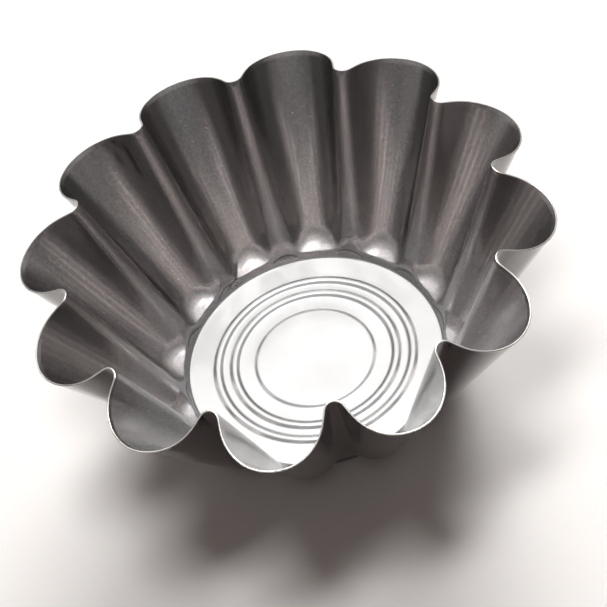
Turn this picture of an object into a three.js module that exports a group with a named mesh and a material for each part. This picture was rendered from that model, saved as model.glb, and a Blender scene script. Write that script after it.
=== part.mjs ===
// Fluted babka pan, in millimetres, standing on its base with +Z up.
// The whole pan is one pressing of steel sheet. A non-stick lining and an outer coat are baked
// on to its two faces, and the cut edge of the sheet stays bare between them at the rim.
import * as THREE from "three";

// Driving dimensions of the flutes and the rim
const FLUTE_COUNT = 12;
const RIM_RADIUS = 110; // to the lobe tips
const FLUTE_DEPTH = 20.8; // at the rim, from lobe tip to valley nose
const NOSE_RADIUS = 4.2; // rounding of a valley nose at the rim
const FLANK_ANGLE = THREE.MathUtils.degToRad(24); // at the rim, between a flank and its valley's axis
const FOOT_NOSE_RADIUS = 8; // rounding of a valley nose at the foot of the wall
const FOOT_FLANK_ANGLE = THREE.MathUtils.degToRad(50); // the flank's angle there
const LOBE_HEIGHT = 79.2; // from the floor to the rim at a lobe tip
const VALLEY_RISE = 8.4; // the rim stands this much higher over a valley nose
const LIP_WIDTH = 2; // the edge of the rim that is turned out a little
const LIP_TURN = THREE.MathUtils.degToRad(5);

// Driving dimensions of the base
const BASE_RADIUS = 56; // flat base, to the foot of the step round it
const STEP_RUN = 1.6;
const STEP_HEIGHT = 3.4;
const SHELF_WIDTH = 2.5; // ledge between the step and the knuckle of a lobe
const SHELF_SLOPE = THREE.MathUtils.degToRad(10);
const KNUCKLE_RADIUS = 12; // bend from the ledge up into the wall of a lobe
const REST_WIDTH = 10.8; // ring of the base that stands on the floor, outside the ribs
const RIB_WIDTH = 4.4; // foot to foot
const RIB_SLOPE_RUN = 1.5;
const RIB_HEIGHT = 1.1;
const RIB_GAP = 2.9; // between the two ribs
const PLATEAU_GAP = 6.6; // between the inner rib and the raised middle of the base
const PLATEAU_HEIGHT = 0.9;

// Driving dimensions of the layers
const STEEL_THICKNESS = 0.5;
const LINING_THICKNESS = 0.1;
const COAT_THICKNESS = 0.1;

// Smoothness: segments along each stretch of a curve
const NOSE_SEGMENTS = 2; // in half a valley nose
const LOBE_SEGMENTS = 4; // in half a lobe
const KNUCKLE_SEGMENTS = 2;
const RAYS_PER_BASE_STEP = 4; // the base is round, so it needs fewer points than the flutes
const FOOT_STATION = KNUCKLE_SEGMENTS + 1; // where the knuckle ends, counted up from the step

// The food face of the steel carries the profile, and depth 0 lies on it
const BASE_LEVEL = STEEL_THICKNESS + COAT_THICKNESS;

const onRay = (angle, length) => new THREE.Vector2(Math.cos(angle), Math.sin(angle)).multiplyScalar(length);

// Half a flute seen from above at one height, from a valley nose on the X axis to a lobe tip.
// A nose arc runs into a straight flank, and the flank into the lobe arc that it touches.
function halfFlute({ tip, nose, noseRadius, flankAngle }) {
  const halfPitch = Math.PI / FLUTE_COUNT;
  const noseCentre = new THREE.Vector2(nose + noseRadius, 0);
  const towardsLobe = onRay(flankAngle + Math.PI / 2, 1);
  const flankStart = noseCentre.clone().addScaledVector(towardsLobe, noseRadius);
  const lean = onRay(halfPitch, 1).dot(towardsLobe);
  const lobeRadius = (tip * lean - flankStart.dot(towardsLobe)) / (1 + lean);
  const lobeCentre = onRay(halfPitch, tip - lobeRadius);
  const points = [];
  for (let i = 0; i <= NOSE_SEGMENTS; i += 1) {
    const turn = (i / NOSE_SEGMENTS) * (Math.PI / 2 - flankAngle);
    points.push(onRay(Math.PI - turn, noseRadius).add(noseCentre));
  }
  const lobeStart = flankAngle - Math.PI / 2;
  for (let i = 0; i <= LOBE_SEGMENTS; i += 1) {
    const turn = lobeStart + (i / LOBE_SEGMENTS) * (halfPitch - lobeStart);
    points.push(onRay(turn, lobeRadius).add(lobeCentre));
  }
  return points;
}

// Every ray at one height: its angle, and its weight from 0 at a valley nose to 1 at a lobe tip.
function fluteRays(outline) {
  const half = halfFlute(outline).map((point) => ({
    angle: point.angle() % (2 * Math.PI),
    weight: (point.length() - outline.nose) / (outline.tip - outline.nose),
  }));
  const pitch = (2 * Math.PI) / FLUTE_COUNT;
  const mirrored = half.slice(1, -1).reverse().map(({ angle, weight }) => ({ angle: pitch - angle, weight }));
  const rays = [];
  for (let flute = 0; flute < FLUTE_COUNT; flute += 1) {
    for (const { angle, weight } of [...half, ...mirrored]) {
      rays.push({ angle: angle + flute * pitch, weight });
    }
  }
  return rays;
}

// Profile of the round base, from its middle outwards to the foot of the step.
function baseProfile() {
  const ribTop = BASE_LEVEL + RIB_HEIGHT;
  const plateauTop = BASE_LEVEL + PLATEAU_HEIGHT;
  const outerRibFoot = BASE_RADIUS - REST_WIDTH;
  const innerRibFoot = outerRibFoot - RIB_WIDTH - RIB_GAP;
  const plateauFoot = innerRibFoot - RIB_WIDTH - PLATEAU_GAP;
  const profile = [
    new THREE.Vector2(0, plateauTop),
    new THREE.Vector2(plateauFoot - RIB_SLOPE_RUN, plateauTop),
    new THREE.Vector2(plateauFoot, BASE_LEVEL),
  ];
  for (const foot of [innerRibFoot, outerRibFoot]) {
    profile.push(new THREE.Vector2(foot - RIB_WIDTH, BASE_LEVEL));
    profile.push(new THREE.Vector2(foot - RIB_WIDTH + RIB_SLOPE_RUN, ribTop));
    profile.push(new THREE.Vector2(foot - RIB_SLOPE_RUN, ribTop));
    profile.push(new THREE.Vector2(foot, BASE_LEVEL));
  }
  profile.push(new THREE.Vector2(BASE_RADIUS, BASE_LEVEL));
  return profile;
}

// Where the lip starts, below a point of the rim whose wall rises from the given foot.
function lipStart(foot, rim) {
  const lipSlope = rim.clone().sub(foot).angle() - LIP_TURN;
  return rim.clone().sub(onRay(lipSlope, LIP_WIDTH));
}

// Profiles of the wall along a lobe and along a valley, from the top of the step to the rim.
function wallProfiles() {
  const stepTop = new THREE.Vector2(BASE_RADIUS + STEP_RUN, BASE_LEVEL + STEP_HEIGHT);
  const lobeRim = new THREE.Vector2(RIM_RADIUS, LOBE_HEIGHT);
  const valleyRim = new THREE.Vector2(RIM_RADIUS - FLUTE_DEPTH, LOBE_HEIGHT + VALLEY_RISE);
  const shelfEnd = stepTop.clone().add(onRay(SHELF_SLOPE, SHELF_WIDTH));
  const lobeLip = lipStart(shelfEnd, lobeRim);
  const valleyLip = lipStart(stepTop, valleyRim);

  // The knuckle leaves the shelf at its slope and turns until its tangent meets the lip
  const knuckleCentre = shelfEnd.clone().add(onRay(SHELF_SLOPE + Math.PI / 2, KNUCKLE_RADIUS));
  const reach = lobeLip.clone().sub(knuckleCentre);
  const wallSlope = reach.angle() + Math.asin(KNUCKLE_RADIUS / reach.length());
  const lobe = [stepTop];
  for (let i = 0; i <= KNUCKLE_SEGMENTS; i += 1) {
    const slope = SHELF_SLOPE + (i / KNUCKLE_SEGMENTS) * (wallSlope - SHELF_SLOPE);
    lobe.push(onRay(slope - Math.PI / 2, KNUCKLE_RADIUS).add(knuckleCentre));
  }
  const valley = lobe.map((point) => {
    const share = (point.y - stepTop.y) / (valleyLip.y - stepTop.y);
    return stepTop.clone().lerp(valleyLip, share);
  });
  return { lobe: [...lobe, lobeLip, lobeRim], valley: [...valley, valleyLip, valleyRim] };
}

const atAngle = (angle, radius, height) =>
  new THREE.Vector3(radius * Math.cos(angle), radius * Math.sin(angle), height);

// Sideways step of a profile corner that moves both of its neighbouring faces by one unit.
function cornerOffset(before, corner, after) {
  const normalBefore = onRay(corner.clone().sub(before).angle() + Math.PI / 2, 1);
  const normalAfter = onRay(after.clone().sub(corner).angle() + Math.PI / 2, 1);
  return normalBefore.clone().add(normalAfter).divideScalar(1 + normalBefore.dot(normalAfter));
}

// Rings of the base, each a list of points with the offset that one unit of depth gives them.
// Its last ring meets the flutes, so it has a point on every ray.
function baseRings(rays, stepTop) {
  const profile = baseProfile();
  const evenAngles = Array.from(
    { length: rays.length / RAYS_PER_BASE_STEP },
    (_, i) => (2 * Math.PI * RAYS_PER_BASE_STEP * i) / rays.length,
  );
  const ringAngles = profile.map(() => evenAngles);
  ringAngles[0] = [0];
  ringAngles[profile.length - 1] = rays.map(({ angle }) => angle);
  return profile.map((corner, k) => {
    const before = profile[k - 1] ?? new THREE.Vector2(-1, corner.y);
    const offset = cornerOffset(before, corner, profile[k + 1] ?? stepTop);
    return ringAngles[k].map((angle) => ({
      point: atAngle(angle, corner.x, corner.y),
      offset: atAngle(angle, offset.x, offset.y),
    }));
  });
}

// Weight of a ray in the knuckle, where a lobe of one roundness runs out as a pocket in the base.
// The shallower the pocket is, the less of the lobe's width is left in it.
function pocketWeight(weight, depth, fullDepth) {
  return depth > 0 ? Math.max(0, 1 - (1 - weight) * (fullDepth / depth)) : weight;
}

// Rings of the fluted wall, each point set between the lobe and valley profiles by its ray's weight.
// The foot's rays carry the knuckle, the rim's rays carry the lip, and the wall is straight between.
function wallRings(footRays, rimRays, { lobe, valley }) {
  const fullDepth = lobe[FOOT_STATION].x - valley[FOOT_STATION].x;
  const foot = footRays.map(({ angle }) => atAngle(angle, BASE_RADIUS, BASE_LEVEL));
  const rings = lobe.map((lobePoint, k) => {
    const inKnuckle = k <= FOOT_STATION;
    return (inKnuckle ? footRays : rimRays).map(({ angle, weight }) => {
      const share = inKnuckle ? pocketWeight(weight, lobePoint.x - valley[k].x, fullDepth) : weight;
      const station = valley[k].clone().lerp(lobePoint, share);
      return atAngle(angle, station.x, station.y);
    });
  });
  return rings.map((ring, k) => {
    const below = rings[k - 1] ?? foot;
    const above = rings[k + 1] ?? ring;
    return ring.map((point, i) => {
      const along = ring[(i + 1) % ring.length].clone().sub(ring.at(i - 1));
      const up = above[i].clone().sub(point).normalize();
      up.add(point.clone().sub(below[i]).normalize());
      return { point, offset: up.cross(along).normalize() };
    });
  });
}

// Triangles between two rings of point numbers, facing the food when the first ring is the inner.
// The second ring holds a whole multiple of the first ring's points.
function stitch(inner, outer) {
  const ratio = outer.length / inner.length;
  const turnover = Math.floor(ratio / 2);
  const triangles = [];
  outer.forEach((number, j) => {
    const apex = Math.floor((j + ratio - turnover) / ratio) % inner.length;
    triangles.push([inner[apex], number, outer[(j + 1) % outer.length]]);
  });
  if (inner.length > 1) {
    inner.forEach((number, i) => {
      triangles.push([number, outer[i * ratio + turnover], inner[(i + 1) % inner.length]]);
    });
  }
  return triangles;
}

// One closed layer of the pan between two depths, counted towards the food.
function layerGeometry(rings, foodDepth, outerDepth) {
  const positions = [];
  const skin = (depth) =>
    rings.map((ring) =>
      ring.map(({ point, offset }) => {
        positions.push(...point.clone().addScaledVector(offset, depth));
        return positions.length / 3 - 1;
      }),
    );
  const foodSkin = skin(foodDepth);
  const outerSkin = skin(outerDepth);
  const triangles = stitch(foodSkin.at(-1), outerSkin.at(-1));
  for (let k = 1; k < rings.length; k += 1) {
    triangles.push(...stitch(foodSkin[k - 1], foodSkin[k]));
    triangles.push(...stitch(outerSkin[k - 1], outerSkin[k]).map((triangle) => triangle.reverse()));
  }
  const geometry = new THREE.BufferGeometry();
  geometry.setAttribute("position", new THREE.Float32BufferAttribute(positions, 3));
  geometry.setIndex(triangles.flat());
  geometry.computeVertexNormals();
  return geometry;
}

const steel = new THREE.MeshStandardMaterial({ color: 0xc8c6c2, roughness: 0.35, metalness: 1 });
const nonstick = new THREE.MeshStandardMaterial({ color: 0x6b6668, roughness: 0.4, metalness: 0.7 });
const outerFinish = new THREE.MeshStandardMaterial({ color: 0x5a5758, roughness: 0.45, metalness: 0.6 });

function namedMesh(name, geometry, material) {
  const mesh = new THREE.Mesh(geometry, material);
  mesh.name = name;
  return mesh;
}

const profiles = wallProfiles();
const footRays = fluteRays({
  tip: profiles.lobe[FOOT_STATION].x,
  nose: profiles.valley[FOOT_STATION].x,
  noseRadius: FOOT_NOSE_RADIUS,
  flankAngle: FOOT_FLANK_ANGLE,
});
const rimRays = fluteRays({
  tip: RIM_RADIUS,
  nose: RIM_RADIUS - FLUTE_DEPTH,
  noseRadius: NOSE_RADIUS,
  flankAngle: FLANK_ANGLE,
});
const rings = [...baseRings(footRays, profiles.lobe[0]), ...wallRings(footRays, rimRays, profiles)];

const pan = new THREE.Group();
pan.name = "babka_pan";
pan.add(namedMesh("steel_shell", layerGeometry(rings, 0, -STEEL_THICKNESS), steel));
pan.add(namedMesh("nonstick_lining", layerGeometry(rings, LINING_THICKNESS, 0), nonstick));
pan.add(namedMesh("outer_coat", layerGeometry(rings, -STEEL_THICKNESS, -BASE_LEVEL), outerFinish));

export default pan;
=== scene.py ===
"""Looks of a fluted babka pan: a pressing of steel sheet between a non-stick lining and an outer coat.

All lengths are in metres and all angles in radians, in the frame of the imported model.
The pan stands on the floor with +Z up, and a valley of its flutes lies on the +X axis.
"""

import logging
import math
from dataclasses import dataclass, field
from enum import Enum

import bpy
import numpy as np
from mathutils import Matrix, Vector


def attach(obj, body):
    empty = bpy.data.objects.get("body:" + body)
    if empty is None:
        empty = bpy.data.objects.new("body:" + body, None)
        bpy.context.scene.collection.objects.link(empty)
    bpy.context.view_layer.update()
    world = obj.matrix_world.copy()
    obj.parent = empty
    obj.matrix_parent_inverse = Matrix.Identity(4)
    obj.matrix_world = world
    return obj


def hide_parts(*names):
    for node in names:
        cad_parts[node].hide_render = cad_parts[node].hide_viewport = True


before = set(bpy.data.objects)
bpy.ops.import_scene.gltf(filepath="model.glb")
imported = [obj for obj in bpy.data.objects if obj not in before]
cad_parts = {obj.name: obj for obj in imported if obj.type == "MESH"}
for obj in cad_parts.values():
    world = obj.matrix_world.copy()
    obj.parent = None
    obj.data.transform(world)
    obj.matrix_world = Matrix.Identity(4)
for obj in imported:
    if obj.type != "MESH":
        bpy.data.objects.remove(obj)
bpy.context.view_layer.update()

PICTURE_SIDE = 607
SENSOR_WIDTH_MM = 36.0
# Point attribute with the share of the folds, which also sets the painted shade in their grooves
FOLD_ATTRIBUTE = "Fold"

# Radii between which the base ends, and between which the marks of the drawn wall begin
BASE_END = (0.0550, 0.0565)
WALL_START = (0.058, 0.066)

# Values of a noise texture that are stretched to run from 0 to 1
NOISE_RANGE = (0.3, 0.7)

# Distances from the middle of a flake between which it fades, as shares of a flake's cell
FLAKE_EDGE = (0.1, 0.25)

log = logging.getLogger("babka_pan")

Colour = tuple[float, float, float]
Place = tuple[float, float, float]
Range = tuple[float, float]


def polar(angle: float | np.ndarray, length: float = 1.0) -> np.ndarray:
    """Gives the point, or points, at an angle and a distance from the origin."""
    return length * np.stack([np.cos(angle), np.sin(angle)], axis=-1)


def smooth_rise(value: np.ndarray, low: float, high: float) -> np.ndarray:
    """Rises smoothly from 0 where value is low to 1 where it is high."""
    share = np.clip((value - low) / (high - low), 0.0, 1.0)
    return share * share * (3.0 - 2.0 * share)


@dataclass(frozen=True)
class Corner:
    """Corner of a profile, which the press rounds.

    Attributes:
        radius: Distance from the pan's axis.
        height: Height over the floor.
        reach: How far before and after the corner the sheet bends.
        run_steps: Steps along the straight run that leads to the bend.
        bend_steps: Steps round the bend.
    """

    radius: float
    height: float
    reach: float = 0.0
    run_steps: int = 1
    bend_steps: int = 5

    def point(self) -> np.ndarray:
        """Gives the corner as an array of radius and height."""
        return np.array([self.radius, self.height])


def rounded_path(corners: list[Corner]) -> np.ndarray:
    """Follows a profile from corner to corner and rounds each corner by its reach.

    Args:
        corners: Corners in order. The first and the last are the ends of the path.

    Returns:
        Points of the path, one row of radius and height each.
    """
    path = [corners[0].point()]
    for before, corner, after in zip(corners, corners[1:], corners[2:]):
        middle = corner.point()
        back = before.point() - middle
        ahead = after.point() - middle
        enter = middle + back / np.linalg.norm(back) * corner.reach
        leave = middle + ahead / np.linalg.norm(ahead) * corner.reach
        path.extend(straight_run(path[-1], enter, corner.run_steps))
        for step in range(1, corner.bend_steps + 1):
            share = step / corner.bend_steps
            first = enter + (middle - enter) * share
            second = middle + (leave - middle) * share
            path.append(first + (second - first) * share)
    path.extend(straight_run(path[-1], corners[-1].point(), corners[-1].run_steps))
    return np.array(path)


def straight_run(start: np.ndarray, end: np.ndarray, steps: int) -> list[np.ndarray]:
    """Gives evenly spaced points after start, up to and with end."""
    return [start + (end - start) * step / steps for step in range(1, steps + 1)]


@dataclass(frozen=True)
class FluteBend:
    """Roundness of the flutes at one height.

    Attributes:
        nose_radius: Rounding of a valley nose.
        flank_angle: Between a flank and the axis of its valley.
    """

    nose_radius: float
    flank_angle: float


@dataclass(frozen=True)
class FluteOutline:
    """Outline of the flutes seen from above: round lobes with a narrow valley between each two.

    Attributes:
        count: Number of lobes.
        rim_radius: From the axis to a lobe tip.
        depth: From a lobe tip in to a valley nose at the rim.
        rim_bend: Roundness of the flutes at the rim.
        foot_bend: Roundness of the flutes where they leave the knuckle.
        nose_steps: Steps in half a nose.
        flank_steps: Steps along a flank.
        lobe_steps: Steps in half a lobe.
    """

    count: int = 12
    rim_radius: float = 0.110
    depth: float = 0.0208
    rim_bend: FluteBend = FluteBend(0.0042, math.radians(24.0))
    foot_bend: FluteBend = FluteBend(0.0080, math.radians(50.0))
    nose_steps: int = 8
    flank_steps: int = 6
    lobe_steps: int = 14

    @property
    def valley_radius(self) -> float:
        """From the axis to a valley nose at the rim."""
        return self.rim_radius - self.depth

    @property
    def pitch(self) -> float:
        """Angle from one valley to the next."""
        return 2.0 * math.pi / self.count

    def half_flute(self, tip: float, nose: float, bend: FluteBend) -> np.ndarray:
        """Draws half a flute, from a valley nose on the X axis to a lobe tip.

        Args:
            tip: Distance of the lobe tip from the axis.
            nose: Distance of the valley nose from the axis.
            bend: Roundness of the flute.

        Returns:
            Points of the outline, one row of x and y each.
        """
        half_pitch = self.pitch / 2.0
        nose_centre = np.array([nose + bend.nose_radius, 0.0])
        towards_lobe = polar(bend.flank_angle + math.pi / 2.0)
        flank_start = nose_centre + towards_lobe * bend.nose_radius
        lean = polar(half_pitch) @ towards_lobe
        lobe_radius = (tip * lean - flank_start @ towards_lobe) / (1.0 + lean)
        lobe_centre = polar(half_pitch, tip - lobe_radius)
        nose_turns = np.linspace(math.pi, math.pi / 2.0 + bend.flank_angle, self.nose_steps + 1)
        lobe_turns = np.linspace(bend.flank_angle - math.pi / 2.0, half_pitch, self.lobe_steps + 1)
        nose_arc = nose_centre + polar(nose_turns, bend.nose_radius)
        lobe_arc = lobe_centre + polar(lobe_turns, lobe_radius)
        flank = straight_run(nose_arc[-1], lobe_arc[0], self.flank_steps)[:-1]
        return np.vstack([nose_arc, flank, lobe_arc])

    def rays(self, tip: float, nose: float, bend: FluteBend) -> tuple[np.ndarray, np.ndarray]:
        """Lists the rays on which one height of the wall is drawn, once round the pan.

        Args:
            tip: Distance of the lobe tips from the axis.
            nose: Distance of the valley noses from the axis.
            bend: Roundness of the flutes at that height.

        Returns:
            The angle of every ray, and its weight from 0 at a valley nose to 1 at a lobe tip.
        """
        half = self.half_flute(tip, nose, bend)
        angles = np.arctan2(half[:, 1], half[:, 0])
        weights = (np.hypot(half[:, 0], half[:, 1]) - nose) / (tip - nose)
        flute_angles = np.concatenate([angles, self.pitch - angles[-2:0:-1]])
        flute_weights = np.concatenate([weights, weights[-2:0:-1]])
        starts = np.arange(self.count) * self.pitch
        return (starts[:, None] + flute_angles).ravel(), np.tile(flute_weights, self.count)


@dataclass(frozen=True)
class PanProfile:
    """Section of the pan from the middle of its base to its rim, on the food face of the steel.

    Attributes:
        base_level: Height of the flat base.
        base_radius: Flat base, to the foot of the step round it.
        rest_width: Ring of the base that stands on the floor, outside the ribs.
        rib_width: A rib from foot to foot.
        rib_slope_run: Width of a slope of a rib.
        rib_height: Rise of a rib over the base.
        rib_gap: Between the two ribs.
        plateau_gap: Between the inner rib and the raised middle.
        plateau_height: Rise of the middle over the base.
        step_run: Width of the step round the base.
        step_height: Height of that step.
        shelf_width: Ledge between the step and the knuckle of a lobe.
        shelf_slope: Slope of that ledge.
        knuckle_radius: Bend from the ledge up into the wall of a lobe.
        lobe_height: Height of the rim at a lobe tip.
        valley_rise: How much higher the rim stands over a valley nose.
        lip_width: Edge of the rim that is turned out a little.
        lip_turn: Angle by which it is turned out.
        rib_bend: Reach of the bends of the ribs.
        edge_bend: Reach of the bend at the edge of the base.
        step_bend: Reach of the bend at the top of the step.
        lip_bend: Reach of the bend under the lip.
        wall_steps: Steps up the straight part of the wall.
        lip_steps: Steps round the bend under the lip and on to the rim.
    """

    base_level: float = 0.0006
    base_radius: float = 0.0560
    rest_width: float = 0.0108
    rib_width: float = 0.0044
    rib_slope_run: float = 0.0015
    rib_height: float = 0.0011
    rib_gap: float = 0.0029
    plateau_gap: float = 0.0066
    plateau_height: float = 0.0009
    step_run: float = 0.0016
    step_height: float = 0.0034
    shelf_width: float = 0.0025
    shelf_slope: float = math.radians(10.0)
    knuckle_radius: float = 0.012
    lobe_height: float = 0.0792
    valley_rise: float = 0.0084
    lip_width: float = 0.0020
    lip_turn: float = math.radians(5.0)
    rib_bend: float = 0.0005
    edge_bend: float = 0.0006
    step_bend: float = 0.0009
    lip_bend: float = 0.0004
    wall_steps: int = 24
    lip_steps: tuple[int, int] = (5, 3)

    def base_corners(self) -> list[Corner]:
        """Lists the corners of the base.

        Returns:
            Corners from the middle of the base to the foot of the step.
        """
        rib_top = self.base_level + self.rib_height
        plateau_top = self.base_level + self.plateau_height
        outer_foot = self.base_radius - self.rest_width
        inner_foot = outer_foot - self.rib_width - self.rib_gap
        plateau_foot = inner_foot - self.rib_width - self.plateau_gap
        corners = [
            Corner(0.0, plateau_top),
            Corner(plateau_foot - self.rib_slope_run, plateau_top, self.rib_bend, run_steps=4),
            Corner(plateau_foot, self.base_level, self.rib_bend),
        ]
        for foot in (inner_foot, outer_foot):
            start = foot - self.rib_width
            corners.append(Corner(start, self.base_level, self.rib_bend, run_steps=2))
            corners.append(Corner(start + self.rib_slope_run, rib_top, self.rib_bend))
            corners.append(Corner(foot - self.rib_slope_run, rib_top, self.rib_bend))
            corners.append(Corner(foot, self.base_level, self.rib_bend))
        corners.append(Corner(self.base_radius, self.base_level, self.edge_bend, run_steps=4))
        return corners

    def step_top(self) -> np.ndarray:
        """Gives the top of the step as radius and height."""
        return np.array([self.base_radius + self.step_run, self.base_level + self.step_height])

    def lip_start(self, foot: np.ndarray, rim: np.ndarray) -> np.ndarray:
        """Finds where the lip starts, below a point of the rim whose wall rises from a foot."""
        rise = rim - foot
        return rim - polar(math.atan2(rise[1], rise[0]) - self.lip_turn, self.lip_width)

    def lobe_path(self, outline: FluteOutline) -> np.ndarray:
        """Follows the section through a lobe.

        Args:
            outline: The outline of the flutes.

        Returns:
            Points from the middle of the base to the rim, one row of radius and height each.
        """
        step_top = self.step_top()
        shelf_end = step_top + polar(self.shelf_slope, self.shelf_width)
        rim = np.array([outline.rim_radius, self.lobe_height])
        lip = self.lip_start(shelf_end, rim)
        centre = shelf_end + polar(self.shelf_slope + math.pi / 2.0, self.knuckle_radius)
        reach = lip - centre
        slope = math.atan2(reach[1], reach[0]) + math.asin(self.knuckle_radius / np.linalg.norm(reach))
        tangent = self.knuckle_radius * math.tan((slope - self.shelf_slope) / 2.0)
        knuckle = shelf_end + polar(self.shelf_slope, tangent)
        corners = self.base_corners()
        corners.append(Corner(*step_top, self.step_bend, run_steps=7, bend_steps=7))
        corners.append(Corner(*knuckle, tangent, run_steps=5, bend_steps=14))
        corners.append(Corner(*lip, self.lip_bend, self.wall_steps, self.lip_steps[0]))
        corners.append(Corner(*rim, run_steps=self.lip_steps[1]))
        return rounded_path(corners)

    @property
    def lip_start_row(self) -> int:
        """Number of the row, counted from the rim, where the wall ends and the lip's bend starts."""
        return -1 - sum(self.lip_steps)

    @property
    def knuckle_end_row(self) -> int:
        """Number of the row, counted from the rim, where the knuckle ends and the wall starts."""
        return self.lip_start_row - self.wall_steps

    def valley_path(self, outline: FluteOutline) -> np.ndarray:
        """Follows the section through a valley, from the base to the rim.

        Args:
            outline: The outline of the flutes.

        Returns:
            Points of the path, one row of radius and height each.
        """
        step_top = self.step_top()
        rim = np.array([outline.valley_radius, self.lobe_height + self.valley_rise])
        lip = self.lip_start(step_top, rim)
        corners = [
            Corner(self.base_radius - self.rest_width, self.base_level),
            Corner(self.base_radius, self.base_level, self.edge_bend, bend_steps=20),
            Corner(*step_top, self.step_bend, bend_steps=20),
            Corner(*lip, self.lip_bend, self.wall_steps, self.lip_steps[0]),
            Corner(*rim, run_steps=self.lip_steps[1]),
        ]
        return rounded_path(corners)

    def sections(self, outline: FluteOutline) -> tuple[np.ndarray, np.ndarray]:
        """Pairs each point of the lobe's section with one of the valley's.

        Up to the end of the knuckle the two lie at the same height.

        Args:
            outline: The outline of the flutes.

        Returns:
            The lobe's points and the valley's, equally many, one row of radius and height each.
        """
        lobe = self.lobe_path(outline)
        path = self.valley_path(outline)
        marks = [self.knuckle_end_row, self.lip_start_row, -1]
        lobe_heights = [0.0, *lobe[marks, 1]]
        valley_heights = [0.0, lobe[marks[0], 1], *path[marks[1:], 1]]
        heights = np.interp(lobe[:, 1], lobe_heights, valley_heights)
        valley = np.stack([np.interp(heights, path[:, 1], path[:, 0]), heights], axis=-1)
        valley[self.lip_start_row :] = path[self.lip_start_row :]
        flat = lobe[:, 0] <= self.base_radius - self.edge_bend
        valley[flat] = lobe[flat]
        return lobe, valley


@dataclass(frozen=True)
class Fold:
    """A single fold that the press left in the sheet, a narrow groove along a line.

    Attributes:
        path: Points that the line runs through, each as its turn round the pan in degrees and its
            distance from the axis.
        half_width: Half the width of the groove.
        strength: Depth of the groove, as a share of the deepest fold.
    """

    path: tuple[tuple[float, float], ...]
    half_width: float
    strength: float

    def share(self, points: np.ndarray) -> np.ndarray:
        """Works out how far into the groove each point lies.

        Args:
            points: Points of the food face by ring and ray.

        Returns:
            A share by ring and ray, 0 outside the groove and at most the fold's strength.
        """
        spots = [face_spot(points, math.radians(turn), distance) for turn, distance in self.path]
        nearest = np.full(points.shape[:-1], np.inf)
        for start, end in zip(spots, spots[1:]):
            run = end - start
            along = np.clip((points - start) @ run / (run @ run), 0.0, 1.0)
            gap = points - start - along[..., None] * run
            nearest = np.minimum(nearest, np.linalg.norm(gap, axis=-1))
        return self.strength * np.exp(-((nearest / self.half_width) ** 2))


def face_spot(points: np.ndarray, turn: float, distance: float) -> np.ndarray:
    """Finds a point of the food face.

    Args:
        points: Points of the food face by ring and ray.
        turn: Angle of the point round the pan.
        distance: Its distance from the axis.

    Returns:
        The point.
    """
    column = []
    for ring in points[1:]:
        angles = np.arctan2(ring[:, 1], ring[:, 0])
        column.append([np.interp(turn, angles, part, period=2.0 * math.pi) for part in ring.T])
    column = np.array(column)
    distances = np.hypot(column[:, 0], column[:, 1])
    return np.array([np.interp(distance, distances, part) for part in column.T])


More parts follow.
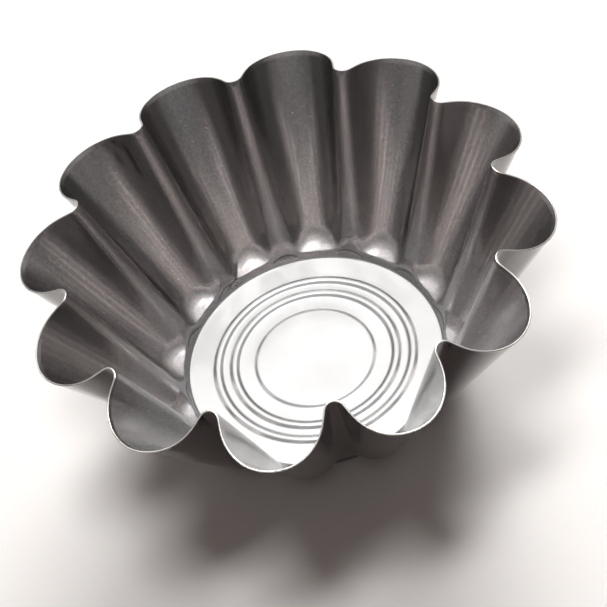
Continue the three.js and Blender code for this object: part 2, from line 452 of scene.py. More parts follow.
@dataclass(frozen=True)
class PressMarks:
    """Small departures of a pressed sheet from the drawn shape.

    Attributes:
        sway: Height of the slow swellings of the wall.
        sway_waves: Number of swellings that are laid over each other.
        sway_turns: Fewest swellings round the pan, and one more than the most.
        sway_climbs: Fewest and most half waves up the wall.
        sway_start: Width of the ring outside the base in which they reach their full height.
        fold_depth: Depth of the deepest fold.
        brow_half_width: Half the width of the fold that arches over the step at the foot of a valley.
        brow_half_span: How far it runs to each side of the valley.
        brow_level: Height of its ends over the base.
        brow_rise: How much higher it stands in the middle.
        brow_lean: Most by which one end stands higher than the other.
        brow_strengths: Least and greatest depth, as a share of the deepest fold.
        brow_stretches: Least and greatest share of the half span.
        brow_start: Width of the ring inside the edge of the base in which it comes in.
        folds: The single folds, from the photographed pan.
        seed: Start of the draws, so that every run gives the same pan.
    """

    sway: float = 0.00012
    sway_waves: int = 9
    sway_turns: tuple[int, int] = (5, 40)
    sway_climbs: Range = (0.3, 1.6)
    sway_start: float = 0.012
    fold_depth: float = 0.00028
    brow_half_width: float = 0.00045
    brow_half_span: float = 0.0085
    brow_level: float = 0.0014
    brow_rise: float = 0.0024
    brow_lean: float = 0.0009
    brow_strengths: Range = (0.55, 1.0)
    brow_stretches: Range = (0.75, 1.1)
    brow_start: float = 0.001
    folds: tuple[Fold, ...] = (
        # Crease in the pocket of a lobe at the back left
        Fold(((109.8, 0.0637), (111.9, 0.0604), (114.4, 0.0578)), 0.0007, 1.0),
        Fold(((114.4, 0.0578), (118.2, 0.0573)), 0.0006, 0.8),
        # Line along the step at the back
        Fold(((95.7, 0.0573), (87.6, 0.0573)), 0.0004, 0.5),
        # Two creases under the rim at the back left
        Fold(((126.2, 0.1020), (126.0, 0.0994), (125.8, 0.0957)), 0.0008, 0.7),
        Fold(((124.9, 0.0994), (123.9, 0.0945), (124.3, 0.0891)), 0.0008, 0.9),
        # Streak in the left one of the two front lobes
        Fold(((243.6, 0.0948), (244.0, 0.0838), (244.6, 0.0761)), 0.0014, 1.0),
        Fold(((244.6, 0.0761), (245.7, 0.0697)), 0.0017, 0.9),
        # Streak in the right one
        Fold(((296.5, 0.0916), (295.9, 0.0826), (295.5, 0.0769)), 0.0014, 1.0),
        Fold(((295.5, 0.0769), (295.4, 0.0705), (295.9, 0.0638)), 0.0019, 1.0),
    )
    seed: int = 12

    def sways(self, points: np.ndarray, form: "PanForm") -> np.ndarray:
        """Works out the slow swellings of the wall.

        Args:
            points: Points of the food face by ring and ray.
            form: The pan's outline and profile.

        Returns:
            The move of every point along its normal, by ring and ray.
        """
        draws = np.random.default_rng(self.seed)
        angles = np.arctan2(points[..., 1], points[..., 0])
        radius = np.hypot(points[..., 0], points[..., 1])
        base = form.profile.base_radius
        wall = smooth_rise(radius, base, base + self.sway_start)
        level = points[..., 2] / form.profile.lobe_height
        relief = np.zeros_like(level)
        for _ in range(self.sway_waves):
            turns = draws.integers(*self.sway_turns)
            climb = draws.uniform(*self.sway_climbs)
            start, lift = draws.uniform(0.0, 2.0 * math.pi, 2)
            wave = np.sin(turns * angles + start) * np.sin(math.pi * climb * level + lift)
            relief += self.sway / math.sqrt(self.sway_waves) * wave * wall
        return relief

    def fold_shares(self, points: np.ndarray, form: "PanForm") -> np.ndarray:
        """Works out how far into a fold each point lies.

        Args:
            points: Points of the food face by ring and ray.
            form: The pan's outline and profile.

        Returns:
            A share by ring and ray, from 0 outside the folds to 1 on the line of the deepest.
        """
        draws = np.random.default_rng(self.seed)
        angles = np.arctan2(points[..., 1], points[..., 0])
        height = points[..., 2] - form.profile.base_level
        radius = np.hypot(points[..., 0], points[..., 1])
        base = form.profile.base_radius
        beyond_base = smooth_rise(radius, base - self.brow_start, base)
        shares = np.zeros_like(height)
        for valley in range(form.outline.count):
            strength = draws.uniform(*self.brow_strengths)
            span = self.brow_half_span * draws.uniform(*self.brow_stretches)
            lean = self.brow_lean * draws.uniform(-1.0, 1.0)
            turn = (angles - valley * form.outline.pitch + math.pi) % (2.0 * math.pi) - math.pi
            side = turn * base / span
            line = self.brow_level + self.brow_rise * (1.0 - side**2) + lean * side
            across = np.exp(-(((height - line) / self.brow_half_width) ** 2))
            brow = strength * across * beyond_base
            shares = np.maximum(shares, brow * np.clip(1.0 - side**4, 0.0, 1.0))
        for fold in self.folds:
            shares = np.maximum(shares, fold.share(points))
        return shares


@dataclass(frozen=True)
class PanForm:
    """The whole shape of the pan's food face.

    Attributes:
        outline: Outline of the rim.
        profile: Section from the middle of the base to the rim.
        marks: Small marks of the press.
        pocket_blend: Softness of the edge round the pocket at the foot of a lobe.
    """

    outline: FluteOutline = field(default_factory=FluteOutline)
    profile: PanProfile = field(default_factory=PanProfile)
    marks: PressMarks = field(default_factory=PressMarks)
    pocket_blend: float = 0.12

    def food_face(self) -> tuple[np.ndarray, np.ndarray, np.ndarray]:
        """Lays out the food face of the steel.

        Returns:
            Points, unit normals and shares of the folds, by ring and ray. All points of the first ring
            lie on the axis.
        """
        lobe, valley = self.profile.sections(self.outline)
        knuckle_end, lip_start = self.profile.knuckle_end_row, self.profile.lip_start_row
        foot_tip, foot_nose = lobe[knuckle_end, 0], valley[knuckle_end, 0]
        foot = self.outline.rays(foot_tip, foot_nose, self.outline.foot_bend)
        rim = self.outline.rays(lobe[-1, 0], valley[-1, 0], self.outline.rim_bend)
        points = flute_points(lobe, valley, foot[0], self._pocket_weights(lobe, valley, foot[1]))
        points[lip_start:] = flute_points(lobe[lip_start:], valley[lip_start:], *rim)

        # The wall between the knuckle and the lip is straight along every ray
        shares = np.linspace(0.0, 1.0, self.profile.wall_steps + 1)[:, None, None]
        rise = points[lip_start] - points[knuckle_end]
        points[knuckle_end : lip_start + 1] = points[knuckle_end] + rise * shares
        folds = self.marks.fold_shares(points, self)
        relief = self.marks.sways(points, self) - self.marks.fold_depth * folds
        points = points + grid_normals(points) * relief[..., None]
        return points, grid_normals(points), folds

    def _pocket_weights(self, lobe: np.ndarray, valley: np.ndarray, weights: np.ndarray) -> np.ndarray:
        """Narrows the lobes towards the base, where they run out as pockets of the same roundness.

        Args:
            lobe: Radius and height of each point of the lobe's section.
            valley: Radius and height of each point of the valley's section.
            weights: Weight of each ray at the end of the knuckle.

        Returns:
            Weight of each ray in every ring.
        """
        least_depth = 1e-6
        depth = np.maximum(lobe[:, 0] - valley[:, 0], least_depth)
        deeper = np.maximum(depth[self.profile.knuckle_end_row] / depth, 1.0)
        sunk = 1.0 - (1.0 - weights[None, :]) * deeper[:, None]
        soft = self.pocket_blend
        return (sunk + np.hypot(sunk, soft)) / (1.0 + math.hypot(1.0, soft))


def flute_points(lobe: np.ndarray, valley: np.ndarray, angles: np.ndarray, weights: np.ndarray) -> np.ndarray:
    """Sets points between a lobe's section and a valley's by the weight of each ray.

    Args:
        lobe: Radius and height of each point of the lobe's section.
        valley: Radius and height of each point of the valley's section.
        angles: Angle of each ray.
        weights: Weight of each ray, 0 at a valley nose and 1 at a lobe tip, the same for all rings
            or ring by ring.

    Returns:
        Points by ring and ray.
    """
    section = valley[:, None] + (lobe - valley)[:, None] * np.atleast_2d(weights)[..., None]
    spots = polar(angles)[None] * section[..., :1]
    return np.concatenate([spots, section[..., 1:]], axis=-1)


def grid_normals(points: np.ndarray) -> np.ndarray:
    """Finds the unit normals of the food face.

    Args:
        points: Points by ring and ray. All points of the first ring lie on the axis.

    Returns:
        Normals by ring and ray.
    """
    outwards = np.gradient(points, axis=0)
    along = np.roll(points, -1, axis=1) - np.roll(points, 1, axis=1)
    normals = np.cross(outwards, along)
    normals[0] = (0.0, 0.0, 1.0)
    return normals / np.linalg.norm(normals, axis=-1, keepdims=True)


class Layer(Enum):
    """A layer of the sheet: its CAD node, its finish slot, and its two depths towards the food."""

    STEEL = ("steel_shell", "sheet_steel", 0.0, -0.0005)
    LINING = ("nonstick_lining", "lining", 0.0001, 0.0)
    COAT = ("outer_coat", "outer_coat", -0.0005, -0.0006)

    def __init__(self, node: str, slot: str, food_depth: float, outer_depth: float) -> None:
        """Keeps the layer's names and depths.

        Args:
            node: Name of the CAD node that the layer stands for.
            slot: Name of the finish slot, which this script doesn't use.
            food_depth: Depth of the skin that faces the food.
            outer_depth: Depth of the other skin.
        """
        self.node = node
        self.slot = slot
        self.food_depth = food_depth
        self.outer_depth = outer_depth


class NodeBench:
    """Places nodes in one node tree and links them."""

    def __init__(self, tree: bpy.types.NodeTree) -> None:
        """Takes the tree to work in."""
        self.tree = tree

    def add(self, kind: str, inputs: dict | None = None, **settings: object) -> bpy.types.Node:
        """Places a node.

        Args:
            kind: Blender's name of the node type.
            inputs: Values, or sockets to link from, by the name or number of the input.
            settings: Properties of the node.

        Returns:
            The new node.
        """
        node = self.tree.nodes.new(kind)
        for name, value in settings.items():
            setattr(node, name, value)
        for key, value in (inputs or {}).items():
            if isinstance(value, bpy.types.NodeSocket):
                self.tree.links.new(value, node.inputs[key])
            else:
                node.inputs[key].default_value = value
        return node

    def math(self, operation: str, *values: object) -> bpy.types.NodeSocket:
        """Places a Math node and gives its output."""
        return self.add("ShaderNodeMath", dict(enumerate(values)), operation=operation).outputs[0]

    def span(
        self, value: bpy.types.NodeSocket, source: Range, target: Range = (0.0, 1.0)
    ) -> bpy.types.NodeSocket:
        """Maps a value from one range to another, clamped, and gives the result."""
        inputs = dict(enumerate((value, *source, *target)))
        return self.add("ShaderNodeMapRange", inputs).outputs[0]

    def mix(self, share: object, first: object, second: object) -> bpy.types.NodeSocket:
        """Mixes two colours and gives the result."""
        node = self.add("ShaderNodeMix", {0: share, 6: first, 7: second}, data_type="RGBA")
        return node.outputs[2]

    def vector(self, operation: str, inputs: dict) -> bpy.types.NodeSocket:
        """Places a Vector Math node and gives its vector."""
        return self.add("ShaderNodeVectorMath", inputs, operation=operation).outputs["Vector"]

    def noise(self, vector: bpy.types.NodeSocket, scale: object, detail: float) -> bpy.types.NodeSocket:
        """Places a noise texture and gives its value, stretched to run from 0 to 1."""
        inputs = {"Vector": vector, "Scale": scale, "Detail": detail}
        return self.span(self.add("ShaderNodeTexNoise", inputs).outputs[0], NOISE_RANGE)

    def group(self, tree: bpy.types.NodeTree, inputs: dict) -> bpy.types.bpy_prop_collection:
        """Places a shared node group with its values and gives its outputs."""
        return self.add("ShaderNodeGroup", inputs, node_tree=tree).outputs


class EffectGroup:
    """A shader node group with named inputs and outputs, for an effect that finishes share."""

    def __init__(self, name: str, inputs: dict[str, float | None], outputs: tuple[str, ...]) -> None:
        """Makes the empty group.

        Args:
            name: The group's name.
            inputs: Starting value of each input. None makes a vector input.
            outputs: Names of the outputs, which are all values.
        """
        self.tree = bpy.data.node_groups.new(name, "ShaderNodeTree")
        for title, value in inputs.items():
            kind = "NodeSocketVector" if value is None else "NodeSocketFloat"
            socket = self.tree.interface.new_socket(title, in_out="INPUT", socket_type=kind)
            if value is not None:
                socket.default_value = value
        for title in outputs:
            self.tree.interface.new_socket(title, in_out="OUTPUT", socket_type="NodeSocketFloat")
        self.bench = NodeBench(self.tree)
        self.given = self.bench.add("NodeGroupInput").outputs
        self.result = self.bench.add("NodeGroupOutput").inputs

    def give(self, title: str, value: bpy.types.NodeSocket) -> None:
        """Links a value to the group's output of that name."""
        self.tree.links.new(value, self.result[title])


def drawn_streaks() -> bpy.types.NodeTree:
    """Makes the group of streaks that the press draws up the wall, and masks of the wall and the base.

    Returns:
        The node group, with the outputs Streak, Wall and Base.
    """
    outputs = ("Streak", "Wall", "Base")
    group = EffectGroup("Drawn streaks", {"Place": None, "Across": 9.0, "Along": 6.0}, outputs)
    bench = group.bench
    place = bench.add("ShaderNodeSeparateXYZ", {0: group.given["Place"]}).outputs
    flat = bench.add("ShaderNodeCombineXYZ", {0: place[0], 1: place[1], 2: 0.0}).outputs[0]
    radius = bench.add("ShaderNodeVectorMath", {0: flat}, operation="LENGTH").outputs["Value"]
    heading = bench.vector("NORMALIZE", {0: flat})
    spread = bench.vector("SCALE", {0: heading, "Scale": group.given["Across"]})
    climb = bench.math("MULTIPLY", place[2], group.given["Along"])
    rise = bench.add("ShaderNodeCombineXYZ", {0: 0.0, 1: 0.0, 2: climb}).outputs[0]
    path = bench.vector("ADD", {0: spread, 1: rise})
    group.give("Streak", bench.noise(path, scale=1.0, detail=4.0))
    group.give("Wall", bench.span(radius, WALL_START))
    group.give("Base", bench.span(radius, BASE_END, (1.0, 0.0)))
    return group.tree


def flake_speckle() -> bpy.types.NodeTree:
    """Makes the group of fine grain and bright flakes in a metallic coat.

    Returns:
        The node group, with the outputs Grain and Spark.
    """
    inputs = {"Place": None, "Grain scale": 900.0, "Flake scale": 700.0, "Spark share": 0.03}
    group = EffectGroup("Flake speckle", inputs, ("Grain", "Spark"))
    bench = group.bench
    place = group.given["Place"]
    group.give("Grain", bench.noise(place, group.given["Grain scale"], detail=2.0))
    flakes = bench.add("ShaderNodeTexVoronoi", {"Vector": place, "Scale": group.given["Flake scale"]}).outputs
    chance = bench.add("ShaderNodeSeparateColor", {0: flakes["Color"]}).outputs[0]
    chosen = bench.math("LESS_THAN", chance, group.given["Spark share"])
    dot = bench.span(flakes["Distance"], FLAKE_EDGE, (1.0, 0.0))
    group.give("Spark", bench.math("MULTIPLY", chosen, dot))
    return group.tree


def baking_haze() -> bpy.types.NodeTree:
    """Makes the group of large soft patches that baking and handling leave in the gloss.

    Returns:
        The node group, with the output Haze.
    """
    group = EffectGroup("Baking haze", {"Place": None, "Patch scale": 30.0}, ("Haze",))
    group.give("Haze", group.bench.noise(group.given["Place"], group.given["Patch scale"], detail=3.0))
    return group.tree


@dataclass(frozen=True)
class Effects:
    """The node groups that the finishes share."""

    streaks: bpy.types.NodeTree
    speckle: bpy.types.NodeTree
    haze: bpy.types.NodeTree

    @classmethod
    def make(cls) -> "Effects":
        """Builds each group once."""
        return cls(drawn_streaks(), flake_speckle(), baking_haze())


@dataclass(frozen=True)
class SheetFinish:
    """Finish of one layer of the sheet, a baked metallic coat or bare steel.

    Attributes:
        name: Name of the material.
        dark: Colour in the dark streaks.
        light: Colour in the light streaks.
        level_shade_gain: Painted shade where the coat lies level: lightness there as a share of that on the
            wall, which dims the lamps' highlights on the knuckles and ledges.
        flat: Colour of the flat base, where the flakes lie flat.
        spark: Colour of the bright flakes.
        fold_shade_colour: Colour in the bottom of a fold.
        fold_shade: How far the deepest fold takes that colour.
        metallic: How far the surface reflects as a metal.
        roughness: Least and greatest roughness of the drawn wall.
        level_dulling: How much rougher it is where it lies level.
        gloss: Weight of the clear skin over the flakes.
        gloss_roughness: Roughness of that skin.
        grain_scale: Grains in a metre.
        grain_height: Height of the grain.
        streak_height: Height of the drawn streaks.
        streak_spread: Number of streaks, as a scale round the pan.
        spark_share: Share of flakes that shine.
        grain_part: Part of the grain in the tone, where the streaks have the rest.
        haze_part: Part of the haze in the roughness, where the streaks have the rest.
        flat_part: How far the flat base takes the colour flat.
        level_range: Upright parts of the normal between which the coat comes to lie level.
        rib_range: Upright parts of the normal between which a slope of a rib turns into the flat base.
        flat_matt: Extra dulling of the flat base, as a share of level_dulling.
        rib_polish: Dulling that is taken off the slopes of the ribs, in the same shares.
    """

    name: str
    dark: Colour
    light: Colour
    level_shade_gain: float
    flat: Colour
    spark: Colour
    # fold_shade_colour: Colour of the painted shade in the bottom of a fold, standing in for the shade in its groove.         fold_shade: How far the deepest fold takes on that painted shade.
    fold_shade_colour: Colour
    fold_shade: float
    metallic: float
    roughness: Range
    level_dulling: float
    gloss: float
    gloss_roughness: float
    grain_scale: float
    grain_height: float
    streak_height: float
    streak_spread: float
    spark_share: float
    grain_part: float = 0.5
    haze_part: float = 0.6
    flat_part: float = 0.9
    level_range: Range = (0.45, 0.9)
    rib_range: Range = (0.9, 0.98)
    flat_matt: float = 0.25
    rib_polish: float = 0.75

    def material(self, effects: Effects) -> bpy.types.Material:
        """Builds the material.

        Args:
            effects: The shared node groups.

        Returns:
            The material.
        """
        material = bpy.data.materials.new(self.name)
        material.use_nodes = True
        material.node_tree.nodes.clear()
        bench = NodeBench(material.node_tree)
        place = bench.add("ShaderNodeTexCoord").outputs["Object"]
        streaks = bench.group(effects.streaks, {"Place": place, "Across": self.streak_spread})
        grain_inputs = {"Place": place, "Grain scale": self.grain_scale, "Spark share": self.spark_share}
        speckle = bench.group(effects.speckle, grain_inputs)
        haze = bench.group(effects.haze, {"Place": place})["Haze"]
        grain, base = speckle["Grain"], streaks["Base"]
        drawn = bench.math("MULTIPLY", streaks["Streak"], streaks["Wall"])
        normal = bench.add("ShaderNodeNewGeometry").outputs["Normal"]
        upright = bench.add("ShaderNodeSeparateXYZ", {0: normal}).outputs[2]
        level = bench.span(upright, self.level_range)

        drawn_tone = bench.math("MULTIPLY", drawn, 1.0 - self.grain_part)
        tone = bench.math("MULTIPLY_ADD", grain, self.grain_part, drawn_tone)
        colour = bench.mix(tone, (*self.dark, 1.0), (*self.light, 1.0))
        # Painted shade: the colour is darkened where the coat lies level, to dim the lamps' highlights on the
        # knuckles and ledges.
        level_shade = bench.span(level, (0.0, 1.0), (1.0, self.level_shade_gain))
        colour = bench.vector("SCALE", {0: colour, "Scale": level_shade})
        colour = bench.mix(speckle["Spark"], colour, (*self.spark, 1.0))
        colour = bench.mix(bench.math("MULTIPLY", base, self.flat_part), colour, (*self.flat, 1.0))
        # Painted shade: along the folds the colour is darkened towards a near-black, standing in for the
        # shade in their grooves.
        fold = bench.add("ShaderNodeAttribute", attribute_name=FOLD_ATTRIBUTE).outputs["Fac"]
        colour = bench.mix(bench.math("MULTIPLY", fold, self.fold_shade), colour, (*self.fold_shade_colour, 1.0))

        drawn_dull = bench.math("MULTIPLY", drawn, 1.0 - self.haze_part)
        dull = bench.math("MULTIPLY_ADD", haze, self.haze_part, drawn_dull)
        roughness = bench.span(dull, (0.0, 1.0), self.roughness)
        ribs = bench.math("MULTIPLY", bench.span(upright, self.rib_range, (1.0, 0.0)), base)
        matt = bench.math("MULTIPLY_ADD", base, self.flat_matt, 1.0)
        matt = bench.math("MULTIPLY_ADD", ribs, -self.rib_polish, matt)
        matt = bench.math("MULTIPLY", level, matt)
        roughness = bench.math("MULTIPLY_ADD", matt, self.level_dulling, roughness)

        ground = bench.math("MULTIPLY", grain, self.grain_height)
        relief = bench.math("MULTIPLY_ADD", drawn, self.streak_height, ground)
        bump = bench.add("ShaderNodeBump", {"Height": relief, "Distance": 1.0, "Strength": 1.0})
        shader = bench.add(
            "ShaderNodeBsdfPrincipled",
            {
                "Base Color": colour,
                "Metallic": self.metallic,
                "Roughness": roughness,
                "Coat Weight": self.gloss,
                "Coat Roughness": self.gloss_roughness,
                "Normal": bump.outputs[0],
            },
        )
        bench.add("ShaderNodeOutputMaterial", {"Surface": shader.outputs[0]})
        return material


FINISHES: dict[Layer, SheetFinish] = {
    Layer.STEEL: SheetFinish(
        name="bare_steel_edge",
        dark=(0.28, 0.27, 0.255),
        light=(0.39, 0.375, 0.355),
        level_shade_gain=1.0,
        flat=(0.33, 0.32, 0.305),
        spark=(0.95, 0.94, 0.92),
        fold_shade_colour=(0.1, 0.09, 0.085),
        fold_shade=0.0,
        metallic=1.0,
        roughness=(0.22, 0.38),
        level_dulling=0.0,
        gloss=0.0,
        gloss_roughness=0.1,
        grain_scale=1400.0,
        grain_height=0.000004,
        streak_height=0.000008,
        streak_spread=16.0,
        spark_share=0.0,
    ),
    Layer.LINING: SheetFinish(
        name="nonstick_lining",
        dark=(0.18, 0.176, 0.185),
        light=(0.362, 0.333, 0.318),
        level_shade_gain=0.66,
        flat=(0.284, 0.287, 0.288),
        spark=(0.75, 0.74, 0.72),
        fold_shade_colour=(0.045, 0.038, 0.035),
        fold_shade=0.9,
        metallic=1.0,
        roughness=(0.2, 0.28),
        level_dulling=0.33,
        gloss=0.4,
        gloss_roughness=0.1,
        grain_scale=900.0,
        grain_height=0.000006,
        streak_height=0.000006,
        streak_spread=9.0,
        spark_share=0.02,
    ),
    Layer.COAT: SheetFinish(
        name="outer_coat",
        dark=(0.182, 0.175, 0.174),
        light=(0.266, 0.254, 0.252),
        level_shade_gain=1.0,
        flat=(0.224, 0.214, 0.212),
        spark=(0.6, 0.59, 0.57),
        fold_shade_colour=(0.03, 0.028, 0.028),
        fold_shade=0.6,
        metallic=1.0,
        roughness=(0.12, 0.18),
        level_dulling=0.0,
        gloss=0.3,
        gloss_roughness=0.12,
        grain_scale=900.0,
        grain_height=0.000008,
        streak_height=0.000010,
        streak_spread=9.0,
        spark_share=0.02,
    ),
}


@dataclass(frozen=True)
class PressedPan:
    """The pan: its three layers, each a closed mesh between two depths of the sheet.

    Attributes:
        form: Shape of the food face of the steel.
        edge_steps: Steps across the cut edge of the sheet at the rim.
        edge_crown: How far the cut edge stands out in its middle, as a share of its width.
        sharp_angle: Edges that turn by more than this stay sharp.
    """

    form: PanForm = field(default_factory=PanForm)
    edge_steps: int = 4
    edge_crown: float = 0.22
    sharp_angle: float = math.radians(38.0)

    def build(self, layer: Layer) -> bpy.types.Object:
        """Builds the mesh of one layer and links it to the scene.

        Args:
            layer: The layer to build.

        Returns:
            The new object.
        """
        points, normals, folds = self.form.food_face()
        rings, rays = points.shape[:2]
        skins = [points + normals * depth for depth in (layer.food_depth, layer.outer_depth)]
        edge = self._cut_edge(points, normals, layer)
        vertices = [skins[0][0, :1], skins[1][0, :1]]
        vertices += [skin[1:].reshape(-1, 3) for skin in skins]
        vertices.append(edge.reshape(-1, 3))
        skin_size = (rings - 1) * rays
        food = 2 + np.arange(skin_size).reshape(rings - 1, rays)
        outer = food + skin_size
        between = 2 + 2 * skin_size + np.arange(edge.shape[0] * rays).reshape(-1, rays)

        faces = self._fan(0, food[0]) + self._bands(food)
        faces += [face[::-1] for face in self._fan(1, outer[0]) + self._bands(outer)]
        faces += self._bands(np.vstack([food[-1:], between, outer[-1:]]))
        mesh = bpy.data.meshes.new("dressed_" + layer.node)
        mesh.from_pydata(np.vstack(vertices).tolist(), [], faces)
        # The fold shares go on both skins, where the finishes darken the colour into painted shade along the
        # grooves.
        skin_folds = folds[1:].ravel()
        shares = np.concatenate([[0.0, 0.0], skin_folds, skin_folds, np.zeros(between.size)])
        mesh.attributes.new(FOLD_ATTRIBUTE, "FLOAT", "POINT").data.foreach_set("value", shares)
        mesh.shade_smooth()
        mesh.set_sharp_from_angle(angle=self.sharp_angle)
        mesh.validate()
        pan = bpy.data.objects.new("dressed_" + layer.node, mesh)
        bpy.context.scene.collection.objects.link(pan)
        return pan

    def dress(self, pan: bpy.types.Object, layer: Layer, material: bpy.types.Material) -> None:
        """Gives a layer its material and sets it in the frame in place of its CAD node.

        Args:
            pan: The layer's object.
            layer: The layer.
            material: Its material.
        """
        pan.data.materials.append(material)
        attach(pan, "root")
        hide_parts(layer.node)

    def _cut_edge(self, points: np.ndarray, normals: np.ndarray, layer: Layer) -> np.ndarray:
        """Rounds the layer's edge at the rim.

        Args:
            points: Points of the food face by ring and ray.
            normals: Normals of the food face.
            layer: The layer.

        Returns:
            Points across the edge, between the rims of the two skins, by step and ray.
        """
        out = points[-1] - points[-2]
        out /= np.linalg.norm(out, axis=-1, keepdims=True)
        width = layer.food_depth - layer.outer_depth
        shares = np.arange(1, self.edge_steps) / self.edge_steps
        depths = layer.food_depth - width * shares
        crown = self.edge_crown * width * 4.0 * shares * (1.0 - shares)
        return points[-1] + normals[-1] * depths[:, None, None] + out * crown[:, None, None]

    @staticmethod
    def _fan(middle: int, ring: np.ndarray) -> list[list[int]]:
        """Lists the triangles from a middle point to the first ring."""
        return [[middle, int(a), int(b)] for a, b in zip(ring, np.roll(ring, -1))]

    @staticmethod
    def _bands(rows: np.ndarray) -> list[list[int]]:
        """Lists the quads between rows of points.

        Args:
            rows: Numbers of the points, each row closed round the pan.

        Returns:
            Four point numbers for every quad.
        """
        after = np.roll(rows, -1, axis=1)
        quads = np.stack([rows[:-1], rows[1:], after[1:], after[:-1]], axis=-1)
        return quads.reshape(-1, 4).tolist()


class LampUse(Enum):
    """What a lamp is for: to light the matt floor, or to show in the sheet as a reflection."""

    FLOOR = "floor"
    SHEET = "sheet"


@dataclass(frozen=True)
class Softbox:
    """A soft rectangular lamp.

    Attributes:
        name: Name of the lamp.
        place: Where its middle is.
        aim: Point that it faces.
        size: Its width and height.
        brightness: Brightness of its face, where 1 is white.
        use: What it is for.
        colour: Colour of its light.
    """

    name: str
    place: Place
    aim: Place
    size: tuple[float, float]
    brightness: float
    use: LampUse
    colour: Colour = (1.0, 0.985, 0.97)

    def build(self) -> bpy.types.Object:
        """Builds the lamp and links it to the scene.

        Returns:
            The lamp.
        """
        light = bpy.data.lights.new(self.name, "AREA")
        light.shape = "RECTANGLE"
        light.size, light.size_y = self.size
        light.energy = self.brightness * math.pi * self.size[0] * self.size[1]
        light.color = self.colour
        lamp = bpy.data.objects.new(self.name, light)
        lamp.location = self.place
        facing = Vector(self.aim) - Vector(self.place)
        lamp.rotation_euler = facing.to_track_quat("-Z", "Y").to_euler()
        lamp.visible_camera = False
        lamp.visible_diffuse = self.use is LampUse.FLOOR
        lamp.visible_glossy = self.use is LampUse.SHEET
        bpy.context.scene.collection.objects.link(lamp)
        return lamp


@dataclass(frozen=True)
class Studio:
    """Pale floor, white surroundings and soft lamps.

    Attributes:
        floor_size: Side of the floor.
        floor_colour: Colour of the floor.
        fill: Brightness of the surroundings as a light, with its warm tint.
        dark_side: Brightness, in reflections, of the low side where the camera stands.
        back_wall: Headings along +Y between which reflections go from that brightness to white.
        ceiling: The same for headings along +Z.
        lamps: The soft lamps.
    """

    floor_size: float = 8.0
    floor_colour: Colour = (0.955, 0.945, 0.933)
    fill: Colour = (0.12, 0.096, 0.089)
    dark_side: float = 0.21
    back_wall: Range = (-0.5, 0.3)
    ceiling: Range = (0.15, 0.75)
    lamps: tuple[Softbox, ...] = (
        Softbox(
            "sheet_overhead",
            place=(0.126, 0.273, 1.6),
            aim=(0.008, -0.003, 0.04),
            size=(0.86, 0.78),
            brightness=18.0,
            use=LampUse.SHEET,
        ),
        Softbox(
            "sheet_back",
            place=(0.0, 0.51, 0.95),
            aim=(0.0, 0.0, 0.0),
            size=(1.2, 0.46),
            brightness=6.0,
            use=LampUse.SHEET,
        ),
        Softbox(
            "floor_overhead",
            place=(-0.1, 0.3, 3.0),
            aim=(0.0, 0.0, 0.0),
            size=(1.3, 0.7),
            brightness=14.0,
            use=LampUse.FLOOR,
        ),
        Softbox(
            "floor_back",
            place=(1.29, 3.53, 1.37),
            aim=(0.0, 0.0, 0.0),
            size=(2.14, 1.7),
            brightness=26.0,
            use=LampUse.FLOOR,
        ),
    )

    def build(self) -> None:
        """Builds the floor, the surroundings and the lamps."""
        self._floor()
        self._surroundings()
        for lamp in self.lamps:
            lamp.build()

    def _floor(self) -> None:
        """Lays the floor under the pan."""
        half = self.floor_size / 2.0
        corners = [(-half, -half, 0.0), (half, -half, 0.0), (half, half, 0.0), (-half, half, 0.0)]
        mesh = bpy.data.meshes.new("studio_floor")
        mesh.from_pydata(corners, [], [(0, 1, 2, 3)])
        floor = bpy.data.objects.new("studio_floor", mesh)
        bpy.context.scene.collection.objects.link(floor)
        material = bpy.data.materials.new("studio_floor")
        material.use_nodes = True
        material.node_tree.nodes.clear()
        bench = NodeBench(material.node_tree)
        shader = bench.add("ShaderNodeBsdfDiffuse", {"Color": (*self.floor_colour, 1.0)})
        bench.add("ShaderNodeOutputMaterial", {"Surface": shader.outputs[0]})
        mesh.materials.append(material)

    def _surroundings(self) -> None:
        """Makes the surroundings white to the camera and to reflections, and a soft fill otherwise."""
        world = bpy.data.worlds.new("studio")
        world.use_nodes = True
        world.node_tree.nodes.clear()
        bench = NodeBench(world.node_tree)
        rays = bench.add("ShaderNodeLightPath").outputs
        seen = bench.math("MAXIMUM", rays["Is Camera Ray"], rays["Is Glossy Ray"])
        seen = bench.math("MAXIMUM", seen, rays["Is Transmission Ray"])
        direction = bench.add("ShaderNodeTexCoord").outputs["Generated"]
        heading = bench.add("ShaderNodeSeparateXYZ", {0: direction}).outputs
        back_wall = bench.span(heading[1], self.back_wall, (self.dark_side, 1.0))
        ceiling = bench.span(heading[2], self.ceiling, (self.dark_side, 1.0))
        shown = bench.math("MAXIMUM", back_wall, ceiling)
        shown = bench.math("MAXIMUM", shown, rays["Is Camera Ray"])
        fill = bench.add("ShaderNodeBackground", {"Color": (*self.fill, 1.0), "Strength": 1.0})
        white = bench.add("ShaderNodeBackground", {"Color": (1.0, 1.0, 1.0, 1.0), "Strength": shown})
        shade = bench.add("ShaderNodeMixShader", {0: seen, 1: fill.outputs[0], 2: white.outputs[0]})
        bench.add("ShaderNodeOutputWorld", {"Surface": shade.outputs[0]})
        bpy.context.scene.world = world


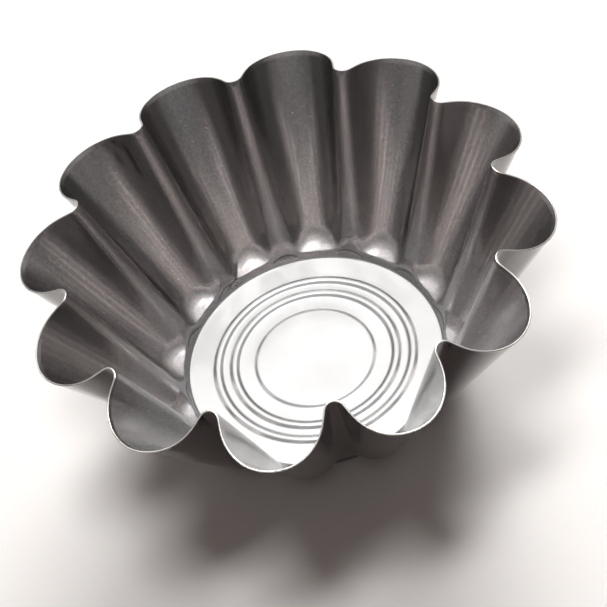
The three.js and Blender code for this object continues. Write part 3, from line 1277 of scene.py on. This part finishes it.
@dataclass(frozen=True)
class PhotoCamera:
    """Camera at the photograph's viewing angle.

    Attributes:
        focal_pixels: Focal length in pixels of the picture.
        distance: From the middle of the base.
        elevation: Height angle of the camera over the base.
        turn: Angle of the camera round the pan from the front.
        roll: Turn of the picture round the line of sight.
        aim: Point that the camera looks at, before the turn round the pan.
        base_level: Height of the point that distance and elevation are taken from.
        nearest: Nearest distance that the camera sees.
    """

    focal_pixels: float = 1954.4
    distance: float = 0.8514
    elevation: float = math.radians(52.12)
    turn: float = math.radians(-0.99)
    roll: float = math.radians(-15.79)
    aim: Place = (0.00145, 0.01908, 0.01484)
    base_level: float = 0.0006
    nearest: float = 0.01

    def build(self) -> bpy.types.Object:
        """Builds the camera and makes it the scene's own.

        Returns:
            The camera.
        """
        data = bpy.data.cameras.new("photo_camera")
        data.sensor_fit = "HORIZONTAL"
        data.sensor_width = SENSOR_WIDTH_MM
        data.lens = self.focal_pixels * SENSOR_WIDTH_MM / PICTURE_SIDE
        data.clip_start = self.nearest
        camera = bpy.data.objects.new("photo_camera", data)
        place = Vector((0.0, -math.cos(self.elevation), math.sin(self.elevation))) * self.distance
        facing = Vector(self.aim) - place
        upright = Vector((0.0, math.sin(self.elevation), math.cos(self.elevation)))
        back = -facing.normalized()
        right = upright.cross(back).normalized()
        axes = Matrix((right, back.cross(right), back)).transposed()
        axes = Matrix.Rotation(self.turn, 3, "Z") @ axes @ Matrix.Rotation(self.roll, 3, "Z")
        place = Matrix.Rotation(self.turn, 3, "Z") @ place + Vector((0.0, 0.0, self.base_level))
        camera.matrix_world = Matrix.Translation(place) @ axes.to_4x4()
        bpy.context.scene.collection.objects.link(camera)
        bpy.context.scene.camera = camera
        return camera


def main() -> None:
    """Builds the camera, the studio and the pan in order."""
    logging.basicConfig(level=logging.INFO, format="%(name)s: %(message)s")
    bpy.context.scene.view_settings.view_transform = "Standard"
    PhotoCamera().build()
    Studio().build()
    effects = Effects.make()
    pan = PressedPan()
    for layer, finish in FINISHES.items():
        piece = pan.build(layer)
        pan.dress(piece, layer, finish.material(effects))
        log.info("%s: %d faces, finish %s", piece.name, len(piece.data.polygons), finish.name)


if __name__ == "__main__":
    main()
